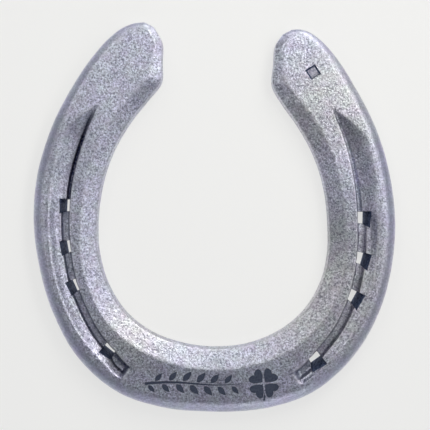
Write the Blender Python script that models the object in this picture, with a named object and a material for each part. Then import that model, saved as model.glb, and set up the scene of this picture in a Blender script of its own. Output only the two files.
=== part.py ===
"""A horseshoe forged from one bar of steel, lying on its foot side with its ground side up.

The toe points to -Y and the heels to +Y. Sizes are in millimetres until a mesh is made.
"""

import math

import bmesh
import bpy
import numpy as np

MM = 0.001  # metres in a millimetre
THICKNESS = 8.0
FOOT_CHAMFER = 0.5
INNER_DRAFT = 0.5  # how far the inner side leans out as it rises

# Sections across the bar, from the middle of the toe to the tip of the heel: x and y of the outer
# edge, then x and y of the inner edge. Section numbers are places along the branch.
LEFT_BRANCH = (
    (0.0, -70.1, 0.0, -46.7),
    (-18.3, -68.6, -11.8, -45.2),
    (-35.3, -62.8, -22.8, -41.1),
    (-48.9, -51.0, -32.0, -33.8),
    (-57.9, -35.2, -38.2, -23.8),
    (-63.0, -18.5, -41.4, -12.7),
    (-65.2, -1.7, -41.8, -1.0),
    (-64.0, 14.5, -40.4, 10.5),
    (-58.8, 32.2, -36.0, 24.0),
    (-51.6, 46.5, -30.1, 34.2),
    (-43.8, 58.0, -23.6, 42.4),
    (-37.4, 65.0, -18.9, 48.7),
    (-33.0, 68.2, -18.6, 56.0),
    (-28.8, 69.8, -18.8, 63.4),
    (-25.2, 70.1, -21.4, 68.2),
)
RIGHT_BRANCH = (
    (0.0, -70.1, 0.0, -46.7),
    (18.3, -68.9, 11.8, -45.5),
    (35.4, -63.1, 22.8, -41.2),
    (49.4, -51.0, 31.9, -33.8),
    (58.8, -35.7, 38.1, -23.7),
    (63.8, -18.9, 40.7, -12.4),
    (65.2, -1.7, 40.7, -1.0),
    (63.4, 14.5, 39.3, 10.5),
    (58.3, 31.9, 35.2, 23.2),
    (50.9, 46.5, 29.5, 33.4),
    (43.5, 58.0, 23.9, 41.3),
    (38.0, 64.0, 20.8, 46.8),
    (34.2, 66.6, 21.1, 55.0),
    (30.9, 67.6, 22.2, 62.8),
    (27.8, 67.5, 24.1, 65.5),
)
LAST_SECTION = 14
STEPS_PER_SECTION = 6
EDGE_STEPS = 24  # straight steps in each section of the edges that the bevels are measured from
FULL_WEB = 22.0  # where the bar is narrower than this, its features draw together
MOST_BEVEL = 0.35  # a bevel never takes more of the web than this
OUTER_BEVEL_SHARES = (0, 0.1, 0.24, 0.42, 0.66, 1)  # where the rounded bevel has its lines

# Section, then the width and drop of the rounded outer bevel, and of the flat inner bevel.
BEVELS = (
    (0, 4.3, 2.2, 8.0, 3.0),
    (4, 4.3, 2.2, 7.2, 2.8),
    (6, 4.3, 2.2, 6.2, 2.4),
    (9, 3.6, 1.9, 6.2, 2.2),
    (11, 2.9, 1.6, 4.6, 1.7),
    (12, 2.6, 1.4, 3.1, 1.2),
    (14, 2.2, 1.2, 2.6, 1.0),
)

# The crease: its two ends as sections, then its inner wall's distance from the outer edge.
CREASE_ENDS = {"left": (2.05, 8.95), "right": (1.88, 8.85)}
CREASE_WALL = {
    "left": (
        (1, 10.0),
        (2.0, 10.0),
        (2.6, 11.6),
        (3.4, 12.1),
        (4.4, 12.0),
        (6.4, 13.1),
        (7.4, 12.9),
        (9, 11.7),
    ),
    "right": (
        (1, 10.0),
        (1.9, 9.8),
        (2.6, 11.5),
        (3.4, 12.1),
        (4.4, 12.8),
        (6.1, 13.7),
        (7.4, 12.8),
        (9, 11.2),
    ),
}
CREASE_WIDTH = ((2, 5.3), (3, 6.6), (6, 7.6), (7.5, 8.0), (9, 7.6))
CREASE_DEPTH = 3.4
CREASE_FADE = 20.0  # length over which it rises to nothing at the heel
SECTION_PITCH = 17.0  # length of one section step along the crease
TOE_END_STEP = 0.04  # the toe end is nearly upright: this part of a section step
CREASE_LEAST_WIDTH = 1.2
GROOVE_SHARE = 0.52  # where the crease is narrow, its groove is this share of its width
# Section, then the width of the groove, the crease's deepest part, beside its inner wall.
GROOVE_WIDTH = {
    "left": (
        (1.8, 3.2),
        (2.2, 3.1),
        (2.7, 2.4),
        (3.0, 2.4),
        (6.0, 2.4),
        (6.25, 2.4),
        (6.5, 1.1),
        (6.8, 1.0),
        (9, 0.7),
    ),
    "right": (
        (1.8, 3.2),
        (2.2, 3.1),
        (2.7, 2.4),
        (3.0, 2.4),
        (5.7, 2.4),
        (5.95, 2.4),
        (6.2, 1.3),
        (6.5, 1.2),
        (9, 0.8),
    ),
}
WALL_LEAN = 0.4
GROOVE_STEP = 0.5
# Section, then the depth of the outer slope's foot as a share of the crease's depth.
SLOPE_SHARE = {
    "left": ((2, 0.62), (9, 0.62)),
    "right": ((2, 0.25), (4.6, 0.3), (6.6, 0.62), (9, 0.62)),
}

# Nail holes, as sections. They are stamped from the ground side, and narrow towards the foot.
NAIL_SECTIONS = {"left": (2.62, 4.35, 5.33, 6.38), "right": (2.40, 4.09, 5.03, 6.05)}
# Each end of a hole is its reach towards the heel, its reach towards the toe at the outer side and at
# the inner side, and then where its outer and its inner side lie from the crease's inner wall.
NAIL_TOP = {"left": (2.8, 3.0, 1.7, -4.5, 0.0), "right": (2.9, 3.6, 1.4, -5.4, 0.0)}
NAIL_FOOT = {"left": (2.5, 1.8, 1.6, -1.4, 1.2), "right": (2.6, 1.7, 1.5, -2.3, 0.6)}
NAIL_OVERSHOOT = 0.6

# The square punch mark in the right heel.
PUNCH_PLACE = (35.4, 52.1)
PUNCH_ANGLE = math.radians(32)
PUNCH_TOP_SIDE = 4.3
PUNCH_FLOOR_SIDE = 3.0
PUNCH_DEPTH = 0.9

# The mark at the toe: a sprig of leaves on a waved stem, and a four-leaf clover.
MARK_DEPTH = 0.2
MARK_OVERSHOOT = 0.3
SPRIG_START = (-25.0, -59.7)
SPRIG_LENGTH = 35.0
SPRIG_WAVE = 0.5
SPRIG_STEM = 0.9
STEM_STEPS = 16
SPRIG_LEAVES = 13
LEAF_LENGTH = 4.6  # of the largest leaf, at the middle of the sprig
LEAF_WIDTH = 2.2
LEAF_STEPS = 6
LEAF_LEAST_SIZE = 0.7  # towards the sprig's two ends, the leaves are smaller
LEAF_LEAN = math.radians(48)
LEAF_GAP = 0.65
CLOVER_PLACE = (17.7, -59.6)
CLOVER_LEAF = 5.1
CLOVER_GAP = 0.3
CLOVER_TURN = math.radians(5)
CLOVER_STEPS = 16
CLOVER_STEM = 2.9
CLOVER_STEM_START = 3.3  # from the clover's middle
CLOVER_STEM_BEND = 0.5
CLOVER_STEM_STEPS = 4

STEEL = {"colour": (0.42, 0.42, 0.46, 1.0), "roughness": 0.42, "metallic": 1.0}


def smooth(keys, values, at):
    """Values at the given places on a smooth curve through the keyed values."""
    keys = np.asarray(keys, dtype=float)
    values = np.asarray(values, dtype=float).reshape(len(keys), -1)
    at = np.atleast_1d(np.asarray(at, dtype=float))
    gaps = np.diff(keys)[:, None]
    slopes = np.diff(values, axis=0) / gaps
    inner = (slopes[:-1] * gaps[1:] + slopes[1:] * gaps[:-1]) / (gaps[:-1] + gaps[1:])
    tangents = np.vstack((slopes[:1], inner, slopes[-1:]))
    i = np.clip(np.searchsorted(keys, at, side="right") - 1, 0, len(gaps) - 1)
    t = np.clip((at - keys[i]) / gaps[i, 0], 0, 1)[:, None]
    start = (2 * t**3 - 3 * t**2 + 1) * values[i] + (t**3 - 2 * t**2 + t) * gaps[i] * tangents[i]
    end = (3 * t**2 - 2 * t**3) * values[i + 1] + (t**3 - t**2) * gaps[i] * tangents[i + 1]
    return start + end


def edge_points(places, column):
    """Points of the outer edge (column 0) or the inner edge (column 2) at signed sections."""
    rows = np.array(LEFT_BRANCH[:0:-1] + RIGHT_BRANCH)[:, column : column + 2]
    sections = np.arange(-LAST_SECTION, LAST_SECTION + 1)
    lengths = np.linalg.norm(np.diff(rows, axis=0), axis=1)
    keys = np.concatenate(([0], np.cumsum(lengths)))
    return smooth(keys, rows, np.interp(places, sections, keys))


def by_side(table, places):
    """A smooth value from the left or the right branch's table at signed sections."""
    left = np.array(table["left"])
    right = np.array(table["right"])
    on_left = smooth(left[:, 0], left[:, 1], np.abs(places))[:, 0]
    on_right = smooth(right[:, 0], right[:, 1], np.abs(places))[:, 0]
    return np.where(np.asarray(places) < 0, on_left, on_right)


def crease_strength(places):
    """How much of its full depth and width the crease has at signed sections, from 0 to 1."""
    heel_end = np.where(places < 0, CREASE_ENDS["left"][1], CREASE_ENDS["right"][1])
    to_heel = (heel_end - np.abs(places)) * SECTION_PITCH / CREASE_FADE
    return np.sin(np.clip(to_heel, 0, 1) * math.pi / 2)


def crease_lines(places):
    """The crease's inner wall, groove edge, slope foot and rim, as distances from the outer edge."""
    wall = by_side(CREASE_WALL, places)
    full_width = smooth(*zip(*CREASE_WIDTH), np.abs(places))[:, 0]
    width = np.maximum(full_width * crease_strength(places), CREASE_LEAST_WIDTH)
    groove = np.minimum(by_side(GROOVE_WIDTH, places), GROOVE_SHARE * width)
    lean = np.minimum(WALL_LEAN, groove / 3)
    step = np.minimum(GROOVE_STEP, groove / 3)
    return np.stack((wall, wall - lean, wall - groove, wall - groove - step, wall - width), axis=1)


def section_places():
    """Signed sections from heel to heel, with a close pair at each toe end of the crease."""
    count = 2 * LAST_SECTION * STEPS_PER_SECTION + 1
    places = list(np.linspace(-LAST_SECTION, LAST_SECTION, count))
    for sign, side in ((-1, "left"), (1, "right")):
        toe_end = CREASE_ENDS[side][0]
        places += [sign * toe_end, sign * (toe_end + TOE_END_STEP)]
    return np.array(sorted(set(places)))


def column_distances(places, web):
    """Each section's points across the ground side, as distances from the outer edge."""
    bevels = bevels_at(places)
    outer_width = np.minimum(bevels[:, 0], web * MOST_BEVEL)
    inner_width = np.minimum(bevels[:, 2], web * MOST_BEVEL)
    wall, floor_edge, groove_edge, slope_foot, rim = crease_lines(places).T
    natural_web = np.maximum(web, FULL_WEB)
    natural_land = natural_web - bevels[:, 0] - bevels[:, 2]
    land = web - outer_width - inner_width
    middle = [rim, (rim + slope_foot) / 2, slope_foot, groove_edge, floor_edge, wall]
    middle.append((wall + natural_web - bevels[:, 2]) / 2)
    middle = [outer_width + (x - bevels[:, 0]) * land / natural_land for x in middle]
    outer = [outer_width * share for share in OUTER_BEVEL_SHARES]
    draft = np.minimum(INNER_DRAFT, inner_width / 2)
    inner = [web - draft - (inner_width - draft) * share for share in (1, 0.5, 0)]
    return np.stack(outer + middle + inner, axis=1)


def crease_depths(places, distances):
    """Depth of the crease at each point across each section."""
    toe_end = np.where(places < 0, CREASE_ENDS["left"][0], CREASE_ENDS["right"][0])
    started = np.abs(places) > toe_end + TOE_END_STEP / 2
    depth = CREASE_DEPTH * crease_strength(places) * started
    rows = []
    for row, line, share in zip(distances, crease_lines(places), by_side(SLOPE_SHARE, places)):
        rows.append(np.interp(-row, -line, (0, 1, 1, share, 0)))
    return np.array(rows) * depth[:, None]


def distance_to(points, line):
    """Each point's distance to the nearest place on a line of short straight steps."""
    steps = np.diff(line, axis=0)
    offsets = points[:, None, :] - line[None, :-1, :]
    shares = np.clip((offsets * steps).sum(axis=2) / (steps**2).sum(axis=1), 0, 1)
    return np.linalg.norm(offsets - shares[:, :, None] * steps, axis=2).min(axis=1)


def bevels_at(places):
    """Width and drop of the outer bevel, then of the inner bevel, at signed sections."""
    table = np.array(BEVELS)
    return smooth(table[:, 0], table[:, 1:], np.abs(places))


def ground_heights(places, points, distances):
    """Height of each point of the ground side, with both bevels and the crease taken off."""
    fine = np.linspace(-LAST_SECTION, LAST_SECTION, 2 * LAST_SECTION * EDGE_STEPS + 1)
    inner_line = edge_points(fine, 2)
    outer_line = edge_points(fine, 0)
    round_tips = np.concatenate((inner_line[:1], outer_line, inner_line[-1:]))
    flat = points.reshape(-1, 2)
    to_outer = distance_to(flat, round_tips).reshape(distances.shape)
    to_inner = distance_to(flat, inner_line).reshape(distances.shape)
    bevels = bevels_at(places)[:, :, None]
    rounded = np.clip(1 - to_outer / bevels[:, 0], 0, 1)
    sloped = np.clip(1 - (to_inner - INNER_DRAFT) / (bevels[:, 2] - INNER_DRAFT), 0, 1)
    outer_drop = bevels[:, 1] * rounded**2
    inner_drop = bevels[:, 3] * sloped
    return THICKNESS - np.maximum(outer_drop, inner_drop) - crease_depths(places, distances)


def bar_mesh():
    """The bent bar: a loft from heel to heel, because its section changes all along."""
    places = section_places()
    outer = edge_points(places, 0)
    inner = edge_points(places, 2)
    web = np.linalg.norm(inner - outer, axis=1)
    inward = (inner - outer) / web[:, None]
    distances = column_distances(places, web)
    points = outer[:, None, :] + inward[:, None, :] * distances[:, :, None]
    heights = ground_heights(places, points, distances)
    chamfer = FOOT_CHAMFER * np.minimum(1, web / FULL_WEB)[:, None]
    mesh = bmesh.new()
    loops = []
    for row in range(len(places)):
        section = [(*(outer[row] + inward[row] * chamfer[row]), 0), (*outer[row], FOOT_CHAMFER)]
        section += [(*point, height) for point, height in zip(points[row], heights[row])]
        section += [(*inner[row], FOOT_CHAMFER), (*(inner[row] - inward[row] * chamfer[row]), 0)]
        loops.append([mesh.verts.new([value * MM for value in corner]) for corner in section])
    for loop, following in zip(loops, loops[1:]):
        for i in range(len(loop)):
            j = (i + 1) % len(loop)
            mesh.faces.new((loop[i], following[i], following[j], loop[j]))
    mesh.faces.new(loops[0])
    mesh.faces.new(loops[-1])
    bmesh.ops.recalc_face_normals(mesh, faces=mesh.faces)
    return mesh


def frustum_mesh(top, foot, top_height, foot_height):
    """A four-sided block. Each end is its reach to +X, its reach to -X at its low and at its high
    side, and then where its low side and its high side lie along Y."""
    mesh = bmesh.new()
    bmesh.ops.create_cube(mesh, size=2)
    for vert in mesh.verts:
        ahead, back_low, back_high, low, high = top if vert.co.z > 0 else foot
        back = back_high if vert.co.y > 0 else back_low
        vert.co.x = (ahead if vert.co.x > 0 else -back) * MM
        vert.co.y = (high if vert.co.y > 0 else low) * MM
        vert.co.z = (top_height if vert.co.z > 0 else foot_height) * MM
    return mesh


def square(side):
    """A square end for a four-sided block."""
    return (side / 2, side / 2, side / 2, -side / 2, side / 2)


def mirrored(mesh):
    """The mesh with its X turned round."""
    for vert in mesh.verts:
        vert.co.x = -vert.co.x
    bmesh.ops.reverse_faces(mesh, faces=mesh.faces)
    return mesh


def extended(top, foot, top_height, foot_height, overshoot):
    """The frustum's two ends moved out past its heights, with its sides kept in line."""
    span = (top_height - foot_height) / overshoot
    top_end = [a + (a - b) / span for a, b in zip(top, foot)]
    foot_end = [b - (a - b) / span for a, b in zip(top, foot)]
    return top_end, foot_end, top_height + overshoot, foot_height - overshoot


def prism_mesh(outline):
    """An upright prism from a closed outline in the plane, cut to the mark's depth."""
    mesh = bmesh.new()
    low = THICKNESS - MARK_DEPTH
    face = mesh.faces.new([mesh.verts.new((x * MM, y * MM, low * MM)) for x, y in outline])
    lifted = bmesh.ops.extrude_face_region(mesh, geom=[face])["geom"]
    verts = [item for item in lifted if isinstance(item, bmesh.types.BMVert)]
    bmesh.ops.translate(mesh, verts=verts, vec=(0, 0, (MARK_DEPTH + MARK_OVERSHOOT) * MM))
    bmesh.ops.recalc_face_normals(mesh, faces=mesh.faces)
    return mesh


def placed(outline, place, angle):
    """The outline's points, turned about its own origin and then moved to its place."""
    cosine = math.cos(angle)
    sine = math.sin(angle)
    return [(place[0] + x * cosine - y * sine, place[1] + x * sine + y * cosine) for x, y in outline]


def leaf_outline(length, width):
    """A pointed leaf along +X from its base."""
    shares = [i / LEAF_STEPS for i in range(1, LEAF_STEPS)]
    upper = [(share * length, width / 2 * math.sin(math.pi * share**0.8)) for share in shares]
    lower = [(x, -y) for x, y in upper]
    return [(0, 0)] + lower + [(length, 0)] + upper[::-1]


def stem_outline(middle, half_width, steps):
    """A thin band whose middle line and half width are functions of the share along it."""
    shares = [i / steps for i in range(steps + 1)]
    lower = [(middle(share)[0], middle(share)[1] - half_width(share)) for share in shares]
    upper = [(middle(share)[0], middle(share)[1] + half_width(share)) for share in shares]
    return lower + upper[::-1]


def sprig_point(share):
    """A point on the middle of the sprig's stem."""
    wave = SPRIG_WAVE * math.sin(share * 2 * math.pi)
    return SPRIG_START[0] + share * SPRIG_LENGTH, SPRIG_START[1] + wave


def sprig_outlines():
    """The sprig: a waved stem that thins to its end, with leaves above and below in turn."""
    outlines = [stem_outline(sprig_point, lambda share: SPRIG_STEM * (0.58 - 0.5 * share), STEM_STEPS)]
    for i in range(SPRIG_LEAVES):
        share = (i + 0.5) / (SPRIG_LEAVES + 1)
        side = 1 if i % 2 else -1
        x, y = sprig_point(share)
        size = LEAF_LEAST_SIZE + (1 - LEAF_LEAST_SIZE) * math.sin(math.pi * share)
        leaf = leaf_outline(LEAF_LENGTH * size, LEAF_WIDTH * size)
        outlines.append(placed(leaf, (x, y + side * LEAF_GAP), side * LEAF_LEAN))
    return outlines


def clover_leaf(angle):
    """One heart-shaped leaf whose point is near the clover's middle."""
    points = []
    for i in range(CLOVER_STEPS):
        turn = 2 * math.pi * i / CLOVER_STEPS
        along = 0.59 + 0.45 * math.cos(turn) - 0.17 * math.cos(2 * turn) - 0.07 * math.cos(3 * turn)
        across = 0.56 * math.sin(turn) ** 3
        points.append((CLOVER_LEAF * along + CLOVER_GAP, CLOVER_LEAF * across))
    return placed(points, CLOVER_PLACE, angle)


def clover_outlines():
    """Four heart-shaped leaves, and a curved stem in the gap between the lower two."""
    outlines = [clover_leaf(CLOVER_TURN + math.pi / 4 + i * math.pi / 2) for i in range(4)]
    stem = stem_outline(
        lambda share: (CLOVER_STEM_START + share * CLOVER_STEM, -CLOVER_STEM_BEND * share**2),
        lambda share: 0.12 + 0.28 * share,
        CLOVER_STEM_STEPS,
    )
    return outlines + [placed(stem, CLOVER_PLACE, CLOVER_TURN - math.pi / 2)]


def new_object(name, mesh, collection):
    data = bpy.data.meshes.new(name)
    mesh.to_mesh(data)
    mesh.free()
    item = bpy.data.objects.new(name, data)
    collection.objects.link(item)
    return item


def new_cutter(name, mesh, collection):
    cutter = new_object(name, mesh, collection)
    cutter.hide_render = True
    cutter.display_type = "WIRE"
    return cutter


def add_nail_cutters(collection):
    """One tapered cutter for each nail hole, square to the branch and against the crease's wall."""
    for sign, side in ((-1, "left"), (1, "right")):
        for number, section in enumerate(NAIL_SECTIONS[side], start=1):
            place = np.array([sign * section])
            outer = edge_points(place, 0)[0]
            inward = edge_points(place, 2)[0] - outer
            inward /= np.linalg.norm(inward)
            centre = outer + inward * by_side(CREASE_WALL, place)[0]
            ends = extended(NAIL_TOP[side], NAIL_FOOT[side], THICKNESS, 0, NAIL_OVERSHOOT)
            mesh = frustum_mesh(*ends)
            if side == "left":
                mesh = mirrored(mesh)
            cutter = new_cutter(f"nail_cutter_{side}_{number}", mesh, collection)
            cutter.location = (centre[0] * MM, centre[1] * MM, 0)
            cutter.rotation_euler.z = math.atan2(inward[1], inward[0]) - math.pi / 2


def add_punch_cutter(collection):
    above = PUNCH_TOP_SIDE + (PUNCH_TOP_SIDE - PUNCH_FLOOR_SIDE) * MARK_OVERSHOOT / PUNCH_DEPTH
    ends = (square(above), square(PUNCH_FLOOR_SIDE))
    mesh = frustum_mesh(*ends, THICKNESS + MARK_OVERSHOOT, THICKNESS - PUNCH_DEPTH)
    cutter = new_cutter("punch_cutter", mesh, collection)
    cutter.location = (PUNCH_PLACE[0] * MM, PUNCH_PLACE[1] * MM, 0)
    cutter.rotation_euler.z = PUNCH_ANGLE


def add_mark_cutters(collection):
    for number, outline in enumerate(sprig_outlines() + clover_outlines(), start=1):
        new_cutter(f"mark_cutter_{number}", prism_mesh(outline), collection)


def steel_material():
    material = bpy.data.materials.new("blasted_steel")
    material.use_nodes = True
    shader = material.node_tree.nodes["Principled BSDF"]
    shader.inputs["Base Color"].default_value = STEEL["colour"]
    shader.inputs["Roughness"].default_value = STEEL["roughness"]
    shader.inputs["Metallic"].default_value = STEEL["metallic"]
    return material


def new_collection(name):
    collection = bpy.data.collections.new(name)
    bpy.context.scene.collection.children.link(collection)
    return collection


def main():
    for item in list(bpy.data.objects):
        bpy.data.objects.remove(item)
    parts = new_collection("horseshoe")
    cutters = new_collection("cutters")
    add_nail_cutters(cutters)
    add_punch_cutter(cutters)
    add_mark_cutters(cutters)
    shoe = new_object("horseshoe", bar_mesh(), parts)
    shoe.data.materials.append(steel_material())
    cut = shoe.modifiers.new("holes_and_marks", "BOOLEAN")
    cut.operation = "DIFFERENCE"
    cut.operand_type = "COLLECTION"
    cut.collection = cutters
    cut.solver = "EXACT"


main()
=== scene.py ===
"""A horseshoe of blasted steel, lying on its foot side with its ground side up.

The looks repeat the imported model's loft from heel to heel with finer sections and columns. They hollow
the outer slope of its creases, round its edges, dent it like forged steel, and cut the nail holes, the
punch mark and the mark at the toe again, with sharper outlines. Sizes are in millimetres until a mesh
is made.
"""

import math

import bmesh
import bpy
import numpy as np
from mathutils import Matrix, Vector, kdtree, noise


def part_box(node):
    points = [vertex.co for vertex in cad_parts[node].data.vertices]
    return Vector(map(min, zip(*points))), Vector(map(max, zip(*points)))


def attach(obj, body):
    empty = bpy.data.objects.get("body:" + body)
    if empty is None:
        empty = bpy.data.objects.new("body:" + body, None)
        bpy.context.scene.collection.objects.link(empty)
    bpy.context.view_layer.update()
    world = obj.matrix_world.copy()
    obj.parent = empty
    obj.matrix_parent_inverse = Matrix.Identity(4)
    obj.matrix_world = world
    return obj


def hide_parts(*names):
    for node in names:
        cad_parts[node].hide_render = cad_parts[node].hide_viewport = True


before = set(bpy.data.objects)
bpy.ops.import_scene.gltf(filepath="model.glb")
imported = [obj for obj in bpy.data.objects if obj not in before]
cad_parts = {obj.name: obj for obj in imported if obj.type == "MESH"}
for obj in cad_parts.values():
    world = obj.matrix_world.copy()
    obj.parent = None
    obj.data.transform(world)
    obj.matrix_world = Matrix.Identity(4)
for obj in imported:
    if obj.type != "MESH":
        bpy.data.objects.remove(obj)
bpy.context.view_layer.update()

MM = 0.001  # metres in a millimetre
NODE = "horseshoe"
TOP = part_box(NODE)[1].z / MM

# Sections across the bar, from the middle of the toe to the tip of the heel, as in the frame: x and y
# of the outer edge, then x and y of the inner edge. Section numbers are places along the branch.
LEFT_BRANCH = (
    (0.0, -70.1, 0.0, -46.7),
    (-18.3, -68.6, -11.8, -45.2),
    (-35.3, -62.8, -22.8, -41.1),
    (-48.9, -51.0, -32.0, -33.8),
    (-57.9, -35.2, -38.2, -23.8),
    (-63.0, -18.5, -41.4, -12.7),
    (-65.2, -1.7, -41.8, -1.0),
    (-64.0, 14.5, -40.4, 10.5),
    (-58.8, 32.2, -36.0, 24.0),
    (-51.6, 46.5, -30.1, 34.2),
    (-43.8, 58.0, -23.6, 42.4),
    (-37.4, 65.0, -18.9, 48.7),
    (-33.0, 68.2, -18.6, 56.0),
    (-28.8, 69.8, -18.8, 63.4),
    (-25.2, 70.1, -21.4, 68.2),
)
RIGHT_BRANCH = (
    (0.0, -70.1, 0.0, -46.7),
    (18.3, -68.9, 11.8, -45.5),
    (35.4, -63.1, 22.8, -41.2),
    (49.4, -51.0, 31.9, -33.8),
    (58.8, -35.7, 38.1, -23.7),
    (63.8, -18.9, 40.7, -12.4),
    (65.2, -1.7, 40.7, -1.0),
    (63.4, 14.5, 39.3, 10.5),
    (58.3, 31.9, 35.2, 23.2),
    (50.9, 46.5, 29.5, 33.4),
    (43.5, 58.0, 23.9, 41.3),
    (38.0, 64.0, 20.8, 46.8),
    (34.2, 66.6, 21.1, 55.0),
    (30.9, 67.6, 22.2, 62.8),
    (27.8, 67.5, 24.1, 65.5),
)
LAST_SECTION = 14
ROWS = 800  # sections in the fine loft
FULL_WEB = 22.0  # where the bar is narrower than this, its features draw together
MOST_BEVEL = 0.35  # a bevel takes no larger share of the bar's width
FOOT_CHAMFER = 0.5
INNER_DRAFT = 0.5  # how far the inner side leans, from the foot plane to the inner bevel
EDGE_SAMPLES = 60  # points from which an edge's length is measured
EDGE_SPACING = 0.1  # between the points that stand for an edge when distances to it are found
TIP_ROWS = 4  # each heel's tip is closed by this many rounded rows
TIP_BULGE = 0.18  # how far they reach, as a share of half the tip's width

# Section, then the width and drop of the rounded outer bevel, and of the flat inner bevel.
BEVELS = (
    (0, 4.3, 2.2, 8.0, 3.0),
    (4, 4.3, 2.2, 7.2, 2.8),
    (6, 4.3, 2.2, 6.2, 2.4),
    (9, 3.6, 1.9, 6.2, 2.2),
    (11, 2.9, 1.6, 4.6, 1.7),
    (12, 2.6, 1.4, 3.1, 1.2),
    (14, 2.2, 1.2, 2.6, 1.0),
)

# The section that each Y of the outer edge belongs to, from the quarters to the heels.
SECTION_BY_Y = ((14, 6), (46, 9), (65, 11), (70, 14))

# The crease: the sections of its two ends, then its inner wall's distance from the outer edge.
CREASE_TOE_END = {"left": 2.05, "right": 1.88}
CREASE_HEEL_END = {"left": 8.95, "right": 8.85}
CREASE_WALL = {
    "left": (
        (1, 10.0),
        (2.0, 10.0),
        (2.6, 11.6),
        (3.4, 12.1),
        (4.4, 12.0),
        (6.4, 13.1),
        (7.4, 12.9),
        (9, 11.7),
    ),
    "right": (
        (1, 10.0),
        (1.9, 9.8),
        (2.6, 11.5),
        (3.4, 12.1),
        (4.4, 12.8),
        (6.1, 13.7),
        (7.4, 12.8),
        (9, 11.2),
    ),
}
CREASE_WIDTH = ((2, 5.3), (3, 6.6), (6, 7.6), (7.5, 8.0), (9, 7.6))
CREASE_DEPTH = 3.4
CREASE_FADE = 20.0  # length over which it rises to nothing at the heel
SECTION_PITCH = 17.0  # length of one section step along the crease
TOE_END_STEP = 0.04  # sections over which it starts at the toe
CREASE_LEAST_WIDTH = 1.2

# The groove is the crease's deepest strip, along its inner wall.
GROOVE_SHARE = 0.52  # it takes no larger share of the crease's width
GROOVE_WIDTH = {
    "left": (
        (1.8, 3.2),
        (2.2, 3.1),
        (2.7, 2.4),
        (3.0, 2.4),
        (6.0, 2.4),
        (6.25, 2.4),
        (6.5, 1.1),
        (6.8, 1.0),
        (9, 0.7),
    ),
    "right": (
        (1.8, 3.2),
        (2.2, 3.1),
        (2.7, 2.4),
        (3.0, 2.4),
        (5.7, 2.4),
        (5.95, 2.4),
        (6.2, 1.3),
        (6.5, 1.2),
        (9, 0.8),
    ),
}
WALL_LEAN = 0.4
GROOVE_STEP = {"left": 0.5, "right": 0.8}  # width of the step from the outer slope down to the groove

# How much of the crease's depth its outer slope reaches. The step takes the rest.
SLOPE_SHARE = {
    "left": ((2, 0.62), (9, 0.62)),
    "right": ((2, 0.4), (4.6, 0.42), (6.1, 0.74), (6.5, 0.78), (9, 0.78)),
}
# 1 is a flat outer slope, and more is a hollow one.
SLOPE_HOLLOW = {
    "left": ((2, 1.1), (2.8, 1.15), (3.8, 2.1), (4.2, 2.1), (9, 2.1)),
    "right": ((2, 2.1), (5.6, 2.1), (5.9, 2.1), (6.3, 1.25), (6.6, 1.25), (9, 1.25)),
}
RIM_SOFTNESS = 0.3  # share of the slope over which its rim is rounded

# How many columns lie between one line across the ground side and the next.
BEVEL_COLUMNS = 11
LAND_COLUMNS = 3
SLOPE_COLUMNS = 14
STEP_COLUMNS = 2
FLOOR_COLUMNS = 5
WALL_COLUMNS = 5
INNER_LAND_COLUMNS = 12
INNER_BEVEL_COLUMNS = 14
SIDE_COLUMNS = 9
FOOT_COLUMNS = 18

# Nail holes. They are stamped from the ground side, and narrow towards the foot.
NAIL_SECTIONS = {"left": (2.62, 4.35, 5.33, 6.38), "right": (2.40, 4.09, 5.03, 6.05)}
# Each end of a hole is its reach towards the heel, its reach towards the toe at the outer side and at
# the inner side, and then where its outer and its inner side lie from the crease's inner wall.
NAIL_TOP = {"left": (2.8, 3.0, 1.7, -4.5, 0.0), "right": (2.9, 3.6, 1.4, -5.4, 0.0)}
NAIL_FOOT = {"left": (2.5, 1.8, 1.6, -1.4, 1.2), "right": (2.6, 1.7, 1.5, -2.3, 0.6)}
NAIL_OVERSHOOT = 0.6  # how far the cutter goes on past both sides of the shoe

# The square punch mark in the right heel.
PUNCH_PLACE = (35.4, 52.1)
PUNCH_ANGLE = math.radians(32)
PUNCH_TOP_SIDE = 4.3
PUNCH_FLOOR_SIDE = 3.0
PUNCH_DEPTH = 0.9
PUNCH_FLOOR_REACH = 0.1  # points this near its floor's height belong to the floor

# Swells and dents of the surface: depth, then size across.
SWELL = (0.07, 9.0)
DENT = (0.035, 2.2)
PITTING = (0.02, 0.9)
NOISE_KIND = (1.0, 2.0, 3)  # how much weaker and finer each octave is, and how many there are
NOISE_STEPS = (17.3, 5.1, 9.7)  # how far apart the noise of each is taken, so that they differ
DENT_ROOM = 0.06  # the surface lies this far in, so that its swells stay inside the frame's
DENT_FADE = 1.2  # dents fade out towards the foot plane over this height
SMOOTHING_ROUNDS = 2
SMOOTHING = 0.5  # how far each round moves a point towards the middle of its neighbours

# How dark the painted shade in the crease is, from 0 to 1, on the left and the right branch. It stands
# in for the shadow of the crease's walls and the shade in its corners, and along the foot of the wall it
# is partly dark scale. The first two have another pair for the stretch before the first hole.
WALL_SCALE_AND_SHADE = ((0.7, 0.6), (0.7, 0.3))  # a line along the foot of the wall
STEP_SHADE = ((0.35, 0.12), (0.35, 0.0))  # a line along the step
GROOVE_FLOOR_SHADE = (0.08, 0.08)  # the groove's floor between the holes
HEEL_GROOVE_SHADE = (0.92, 0.0)  # the floor past the holes
SURROUND_SHADE = (0.65, 0.0)  # a soft shade round that floor
POCKET_SHADE = (0.8, 0.45)  # the pocket between the toe end and the first hole
LEAF_SHADE = (0.12, 0.18)  # the leaf-shaped slope past the holes
END_WALL_SHADE = (0.7, 0.3)  # the short wall at the toe end

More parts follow.
